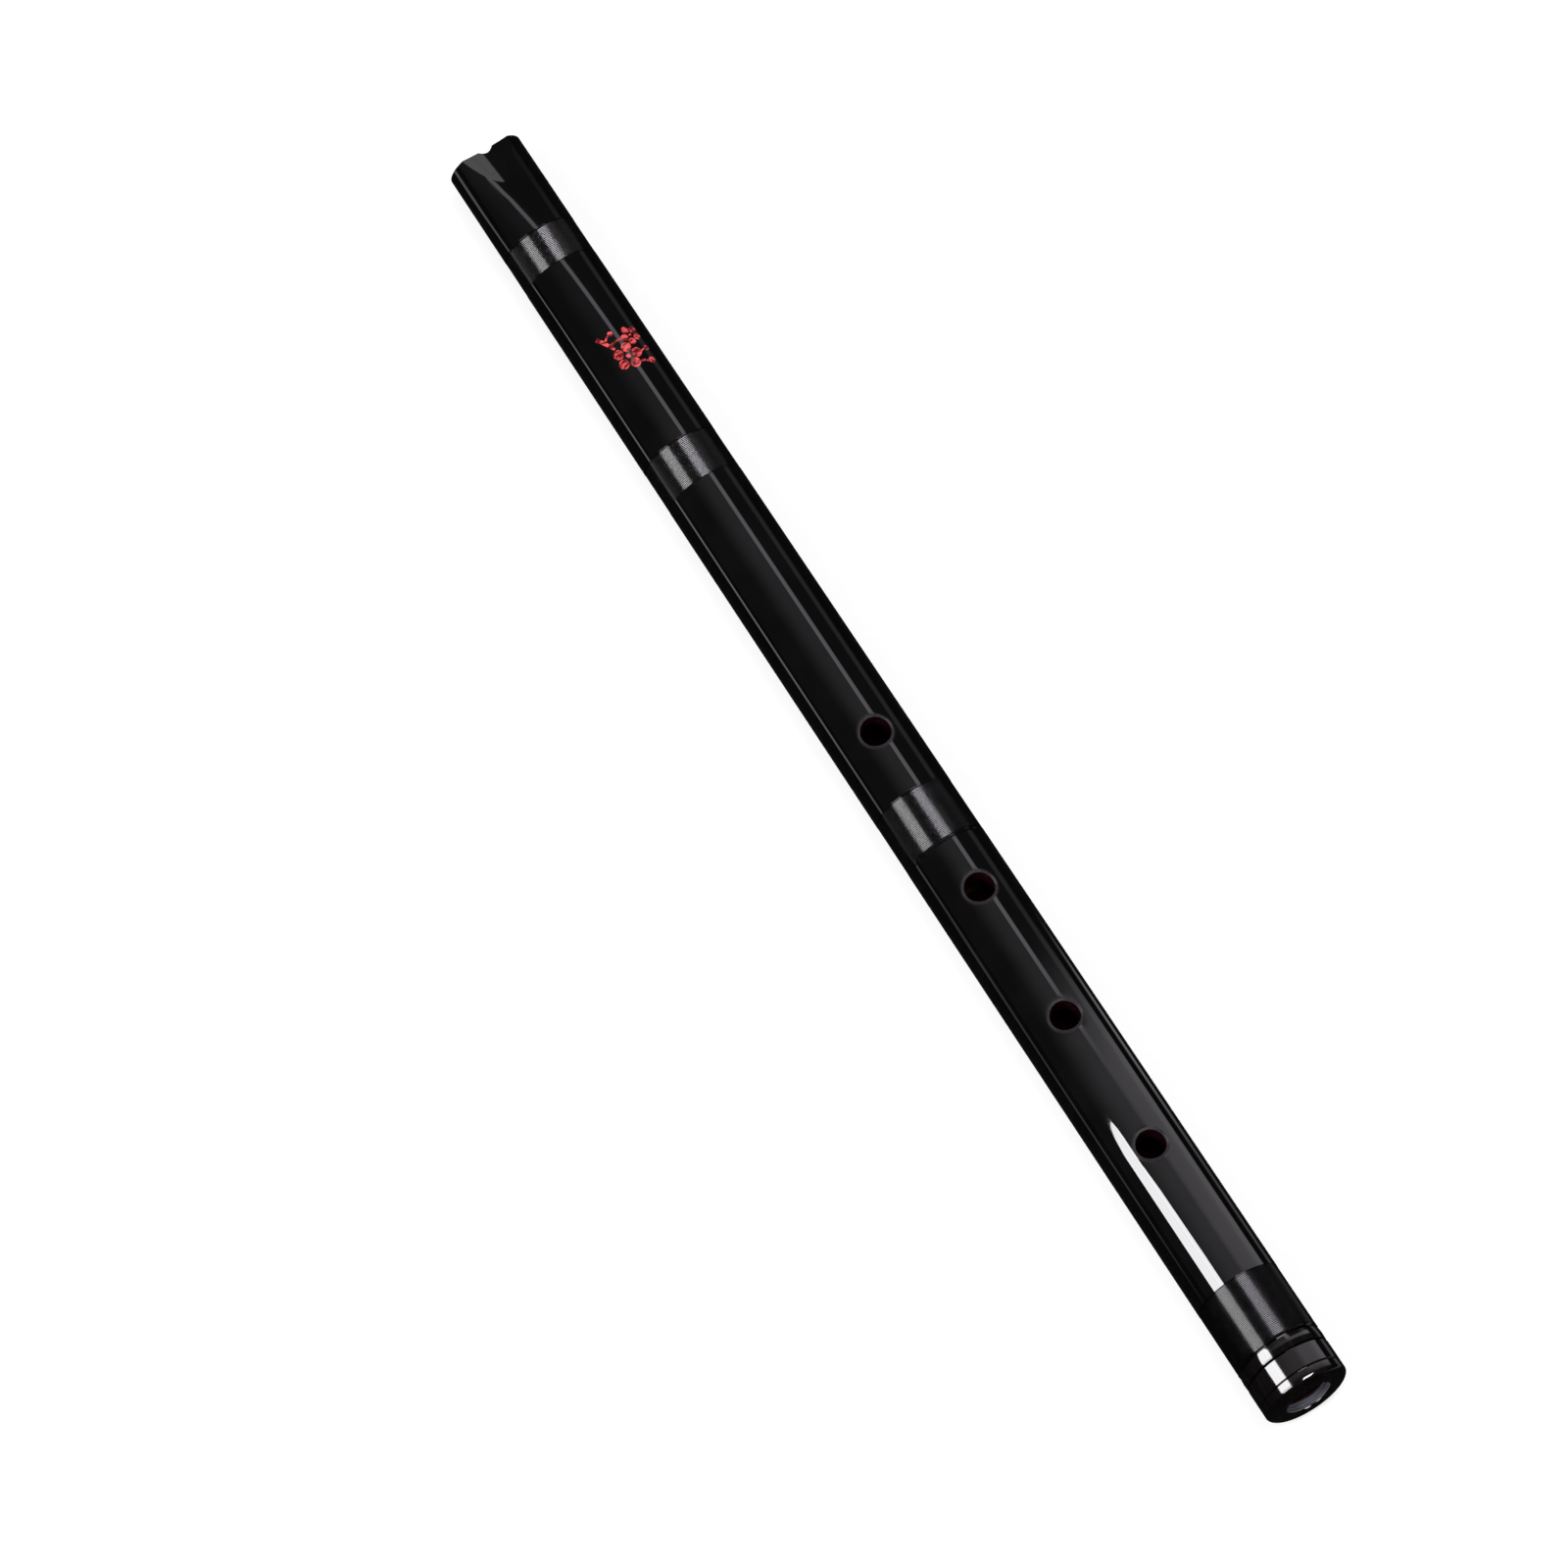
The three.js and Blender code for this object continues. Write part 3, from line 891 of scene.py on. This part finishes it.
# A painted spray of plum blossom between the two upper bindings. It is drawn flat, along the tube
# and across it in millimetres, and then bent round the tube as a thin film.
spray = {
    "station": 92.4,
    "across": 2.0,
    "film": 0.035,
    "slices": 0.4,
    "sliver": 0.0001,
    "reach": 12,
    "discSides": 28,
    "petals": 5,
    "petalOut": 3.0,
    "petal": 1.6,
    "heart": 0.75,
    # each blossom: its place along and across, its size, its turn. Each bud: its place, its radius.
    "blossoms": [(1.8, -1.2, 1.16, 0.3), (-5.0, 3.9, 0.84, 1.0)],
    "buds": [(6.6, 5.9, 1.3), (1.5, 6.8, 1.0), (-8.6, -2.4, 0.95)],
    # each twig: (along, across, half width) from its foot to its tip
    "twigs": [
        [(-9.4, -7.6, 0.78), (-7.0, -6.1, 0.70), (-4.9, -5.0, 0.62), (-2.6, -3.9, 0.5)],
        [(-7.0, -5.3, 0.45), (-7.8, -4.3, 0.38), (-8.4, -3.3, 0.30)],
        [(-4.7, -4.3, 0.48), (-5.1, -2.4, 0.42), (-5.2, -0.6, 0.36), (-5.1, 0.6, 0.30)],
        [(2.1, 4.0, 0.36), (1.8, 4.9, 0.32), (1.6, 5.7, 0.26)],
        [(5.2, 1.2, 0.42), (5.6, 2.8, 0.38), (6.2, 3.8, 0.32), (6.5, 4.6, 0.26)],
    ],
}


def disc(shape, along, across, radius):
    spot = Matrix.Translation((along, across, 0))
    bmesh.ops.create_circle(shape, cap_ends=True, segments=spray["discSides"], radius=radius,
                            matrix=spot)


def blossom(shape, along, across, size, turn):
    disc(shape, along, across, spray["heart"] * size)
    out, radius = spray["petalOut"] * size, spray["petal"] * size
    for petal in range(spray["petals"]):
        angle = turn + petal * math.tau / spray["petals"]
        disc(shape, along + out * math.cos(angle), across + out * math.sin(angle), radius)


def twig(shape, path):
    middles = [Vector((along, across, 0)) for along, across, _ in path]
    sides = []
    for way in (-1, 1):
        side = []
        for index, (middle, (_, _, half)) in enumerate(zip(middles, path)):
            run = middles[min(index + 1, len(path) - 1)] - middles[max(index - 1, 0)]
            out = Vector((-run.y, run.x, 0)).normalized() * half * way
            side.append(shape.verts.new(middle + out))
        sides.append([shape.edges.new(pair) for pair in zip(side, side[1:])])
    bmesh.ops.bridge_loops(shape, edges=sides[0] + sides[1])


def paintedSpray():
    shape = bmesh.new()
    for bloom in spray["blossoms"]:
        blossom(shape, *bloom)
    for along, across, radius in spray["buds"]:
        disc(shape, along, across, radius)
    for path in spray["twigs"]:
        twig(shape, path)
    for face in shape.faces:
        if face.normal.z < 0:
            face.normal_flip()
    for line in range(int(2 * spray["reach"] / spray["slices"]) + 1):
        spot = (0, -spray["reach"] + line * spray["slices"], 0)
        everything = shape.verts[:] + shape.edges[:] + shape.faces[:]
        bmesh.ops.bisect_plane(shape, geom=everything, dist=spray["sliver"], plane_co=spot,
                               plane_no=(0, 1, 0))
    raised = bmesh.ops.extrude_face_region(shape, geom=shape.faces[:], use_keep_orig=True)
    top = set(vertsOf(raised["geom"]))
    for vert in shape.verts:
        station = spray["station"] + vert.co.x
        radius = outerRadius(station) + spray["film"] * (1 if vert in top else -1)
        angle = (vert.co.y + spray["across"]) / outerRadius(station)
        vert.co = (station, radius * math.sin(angle), radius * math.cos(angle))
    bmesh.ops.recalc_face_normals(shape, faces=shape.faces)
    piece = objectOf(shape, "paintedSpray", finishes["paint"])
    return finishPiece(piece, "upper_half", sharp=building["filmSharp"])


# The camera stands well back, as the photograph's long lens did
view = {
    "azimuth": 58.335,
    "elevation": 68.4,
    "distance": 25.0,
    "lensPerMetre": 66.08,
    "height": 0.0152,
    "right": -0.0388,
    "up": -0.0025,
    "sensor": 36,
    "farthest": 100,
}


def setCamera():
    around, above = math.radians(view["azimuth"]), math.radians(view["elevation"])
    level = math.cos(above)
    away = Vector((math.sin(around) * level, -math.cos(around) * level, math.sin(above)))
    right = Vector((math.cos(around), math.sin(around), 0))
    up = away.cross(right)
    target = Vector((0, 0, view["height"])) + right * view["right"] + up * view["up"]
    data = bpy.data.cameras.new("camera")
    data.sensor_width = view["sensor"]
    data.lens = view["lensPerMetre"] * view["distance"]
    data.clip_end = view["farthest"]
    camera = bpy.data.objects.new("camera", data)
    facing = Matrix((right, up, away)).transposed().to_4x4()
    camera.matrix_world = Matrix.Translation(target + away * view["distance"]) @ facing
    bpy.context.scene.collection.objects.link(camera)
    bpy.context.scene.camera = camera


# Only reflections see these stage pieces, as black and white cards round a glossy subject
def stagePiece(name, shape, material, reflectionsOnly=True):
    piece = objectOf(shape, name, material)
    if reflectionsOnly:
        piece.visible_camera = piece.visible_diffuse = piece.visible_shadow = False
        piece.visible_transmission = piece.visible_volume_scatter = False
    return piece


def glow(finish, strength, colour=(1, 1, 1, 1)):
    light = finish.node("Emission", values={"Color": colour, "Strength": strength})
    finish.node("OutputMaterial", values={"Surface": light})
    return finish.holder


def seenAsBackground(finish):
    rays = ("Is Camera Ray", "Is Glossy Ray", "Is Transmission Ray")
    camera, glossy, through = [finish.node("LightPath", output=name) for name in rays]
    return camera.math("MAXIMUM", glossy).math("MAXIMUM", through)


def square(half, spot):
    shape = bmesh.new()
    bmesh.ops.create_grid(shape, x_segments=1, y_segments=1, size=half, matrix=spot)
    return shape


floor = {"half": 7.0, "below": 0.0004, "colour": (0.42, 0.42, 0.42, 1), "own": 0.72}


def setFloor():
    finish = newFinish("paleFloor")
    matt = finish.node("BsdfDiffuse", values={"Color": floor["colour"]})
    own = finish.node("Emission", values={"Strength": seenAsBackground(finish) * floor["own"]})
    both = finish.node("AddShader", values={0: matt, 1: own})
    finish.node("OutputMaterial", values={"Surface": both})
    spot = Matrix.Translation((0, 0, -floor["below"]))
    stagePiece("floor", square(floor["half"], spot), finish.holder, reflectionsOnly=False)


# The black tent has softly lit seams. Their places follow the reflection that the camera sees
# at each station of the tube: angles from straight up, towards the right-hand side, in degrees.
tent = {
    "radius": 1.6, "half": 2.4, "sides": 96, "open": -0.002,
    "shift": 0.3475, "spread": 1.061, "axis": 0.0152,
    "colour": (1, 0.955, 1.01, 1), "dark": 0.06, "ends": (-50, -10, 558, 600),
    "seam": 28.4, "seamBend": 60.0, "bendStart": 18.6, "bendLength": 31.0, "mostBend": 62.0,
    "seamHalf": 4.6, "seamEdge": 1.5, "seamLight": 1.75, "seamEnd": (360.0, 430.0),
    "spill": (-72.0, -18.0), "spillLight": 0.32, "spillStart": (70.0, 170.0), "spillLeast": 0.3,
    # the panel's first edge in half widths of the seam, and its last in degrees
    "panelEdge": (-2, 1.4), "panelEnd": (93.0, 95.0), "panelStart": (362.0, 430.0),
    "panelLight": 0.90, "body": 0.20, "bodyEdge": (-64.0, -24.0),
    "rail": (72.0, 84.0), "railEdge": 2, "railLight": 0.22, "railStart": (25.0, 70.0),
    "railLeast": 0.25,
}


def setTent():
    finish = newFinish("blackTent")
    along, side, up = finish.axes()
    angle = side.math("ARCTAN2", up - tent["axis"]) * math.degrees(1)
    stretch = 1 / millimetre / tent["spread"]
    station = (along + tent["shift"] * tent["radius"]) * stretch + tube["length"] / 2
    bend = ((tent["bendStart"] - station) / tent["bendLength"]).math("EXPONENT")
    bend = tent["seamBend"] * bend
    off = angle - (tent["seam"] - bend.math("MINIMUM", tent["mostBend"]))
    half, edge = tent["seamHalf"], tent["seamEdge"]
    seam = finish.band(off, -half, half, edge) * finish.ramp(station, *tent["seamEnd"], 1, 0)
    spill = finish.ramp(off, *tent["spill"]) * finish.ramp(off, -half, half, 1, 0)
    spill = spill * finish.ramp(station, *tent["spillStart"], tent["spillLeast"], 1)
    begun = finish.ramp(station, *tent["panelStart"])
    panel = begun * finish.ramp(off, *[half * share for share in tent["panelEdge"]])
    panel = panel * finish.ramp(angle, *tent["panelEnd"], 1, 0)
    body = begun * finish.ramp(angle, *tent["bodyEdge"])
    rail = finish.band(angle, *tent["rail"], tent["railEdge"])
    rail = rail * finish.ramp(station, *tent["railStart"], tent["railLeast"], 1)
    lit = seam * tent["seamLight"] + spill * tent["spillLight"] + panel * tent["panelLight"]
    lit = lit + body * tent["body"] + rail * tent["railLight"]
    first, firstFull, lastFull, last = tent["ends"]
    lit = lit * finish.ramp(station, first, firstFull) * finish.ramp(station, lastFull, last, 1, 0)
    radius = tent["radius"]
    lying = Matrix.Rotation(math.pi / 2, 4, "Y")
    shape = bmesh.new()
    bmesh.ops.create_cone(shape, cap_ends=True, segments=tent["sides"], radius1=radius,
                          radius2=radius, depth=2 * tent["half"], matrix=lying)
    everything = shape.verts[:] + shape.edges[:] + shape.faces[:]
    bmesh.ops.bisect_plane(shape, geom=everything, plane_co=(0, 0, tent["open"]),
                           plane_no=(0, 0, 1), clear_inner=True)
    stagePiece("tent", shape, glow(finish, lit + tent["dark"], tent["colour"]))


# The dark table round the flute, with the lit strips that run along the tube's flanks
table = {
    "half": 3.0, "dark": 0.012, "edge": 0.004,
    # each strip: its two sides (y), where it begins and is full, fades and ends (x), its light
    "strips": [
        ((-0.132, -0.088), (-0.6, -0.4), (-0.10, 0.09), 1.75),
        ((-0.096, -0.076), (0.02, 0.06), (0.14, 0.22), 0.5),
        ((0.050, 0.073), (0.05, 0.10), (0.11, 0.17), 0.75),
        ((0.050, 0.073), (0.11, 0.17), (0.30, 0.40), 0.28),
    ],
    "mouthTurn": (-0.275, -0.225), "turnIn": 0.052, "narrow": 0.012, "mouthDim": 0.55,
}


def setTable():
    finish = newFinish("darkTable")
    along, side, _ = finish.axes()
    mouthward = finish.ramp(along, *table["mouthTurn"], 1, 0)
    bent = side - mouthward * table["turnIn"]
    narrowed = mouthward * table["narrow"]
    light = 0
    for (near, far), start, end, bright in table["strips"]:
        strip = finish.band(bent, near + narrowed, far - narrowed, table["edge"])
        strip = strip * finish.ramp(along, *start, 0, bright) * finish.ramp(along, *end, 1, 0)
        light = light + strip
    light = light * (1 - mouthward * (1 - table["mouthDim"])) + table["dark"]
    spot = Matrix.Translation((0, 0, -floor["below"] / 2))
    stagePiece("darkTable", square(table["half"], spot), glow(finish, light))


# Bright cards beside and above the tube: the angle of their middle from straight up, their half
# width in degrees, their distance, their light, and their outline as (x, share of the half width)
cards = {
    "keyCard": {
        "angle": -45.8, "half": 15.4, "away": 0.35, "light": 21, "colour": (1, 0.99, 1.01, 1),
        "outline": [
            (0.0392, 0.35), (0.0412, -0.25), (0.0437, -0.72), (0.049, -1), (0.21, -1), (0.21, 1),
            (0.095, 1), (0.068, 0.84), (0.057, 0.62), (0.046, 0.62), (0.042, 0.55),
        ],
    },
    "longCard": {
        "angle": -45.8, "half": 14.6, "away": 1.0, "light": 14, "colour": (1, 0.98, 1, 1),
        "outline": [(0, -1), (1.1, -1), (1.1, 1), (0, 1)],
    },
    "topCard": {
        "angle": 18, "half": 14.5, "away": 1.5, "light": 24, "colour": (1, 0.97, 1.06, 1),
        "outline": [(0.66, -1), (2.3, -1), (2.3, 1), (0.66, 1)],
    },
}
cardStreaks = {"scale": (1.5, 60, 60), "depth": 0.4}


def setCard(name, card):
    finish = newFinish(name + "Light")
    width = card["away"] * math.tan(math.radians(card["half"]))
    spots = [(x, share * width, card["away"]) for x, share in card["outline"]]
    shape = bmesh.new()
    shape.faces.new([shape.verts.new(spot) for spot in spots])
    tilt = Matrix.Rotation(-math.radians(card["angle"]), 3, "X")
    bmesh.ops.rotate(shape, verts=shape.verts, cent=(0, 0, 0), matrix=tilt)
    bmesh.ops.translate(shape, verts=shape.verts, vec=(0, 0, tent["axis"]))
    depth = cardStreaks["depth"]
    spread = finish.noise(1, detail=2, vector=finish.stretched(cardStreaks["scale"]))
    spread = spread * depth + (1 - depth / 2)
    stagePiece(name, shape, glow(finish, spread * card["light"], card["colour"]))


# The light card that the scooped mouth reflects
mouthCard = {"spot": (-1.13, 0.60, 0.62), "aim": (-0.27, 0, 0.02), "half": 0.30, "light": 1.5}


def setMouthCard():
    spot = Vector(mouthCard["spot"])
    facing = (Vector(mouthCard["aim"]) - spot).to_track_quat("Z", "Y").to_matrix().to_4x4()
    shape = square(mouthCard["half"], Matrix.Translation(spot) @ facing)
    stagePiece("mouthCard", shape, glow(newFinish("mouthCardLight"), mouthCard["light"]))


# Two soft lamps light what is matt. The cards above give the gloss its shapes.
lamps = {
    "keyLamp": {"from": (0.35, -1.5, 1.6), "size": 1.1, "power": 26},
    "topLamp": {"from": (0.25, 0.55, 2.0), "size": 1.3, "power": 20},
}
ambient = 0.42


def setLamps():
    for name, lamp in lamps.items():
        data = bpy.data.lights.new(name, "AREA")
        data.size = lamp["size"]
        data.energy = lamp["power"]
        made = bpy.data.objects.new(name, data)
        made.location = lamp["from"]
        made.rotation_euler = (-Vector(lamp["from"])).to_track_quat("-Z", "Y").to_euler()
        made.visible_glossy = False
        bpy.context.scene.collection.objects.link(made)


def setWorld():
    world = bpy.data.worlds.new("world")
    bpy.context.scene.world = world
    finish = Finish(world)
    dim = finish.node("Background", values={"Strength": ambient})
    white = finish.node("Background", values={"Strength": 1.0})
    both = finish.node("MixShader", values={0: seenAsBackground(finish), 1: dim, 2: white})
    finish.node("OutputWorld", values={"Surface": both})


paintedSpray()
setCamera()
setFloor()
setTent()
setTable()
for name, card in cards.items():
    setCard(name, card)
setMouthCard()
setLamps()
setWorld()
bpy.context.scene.view_settings.view_transform = "Standard"
print("stage set")
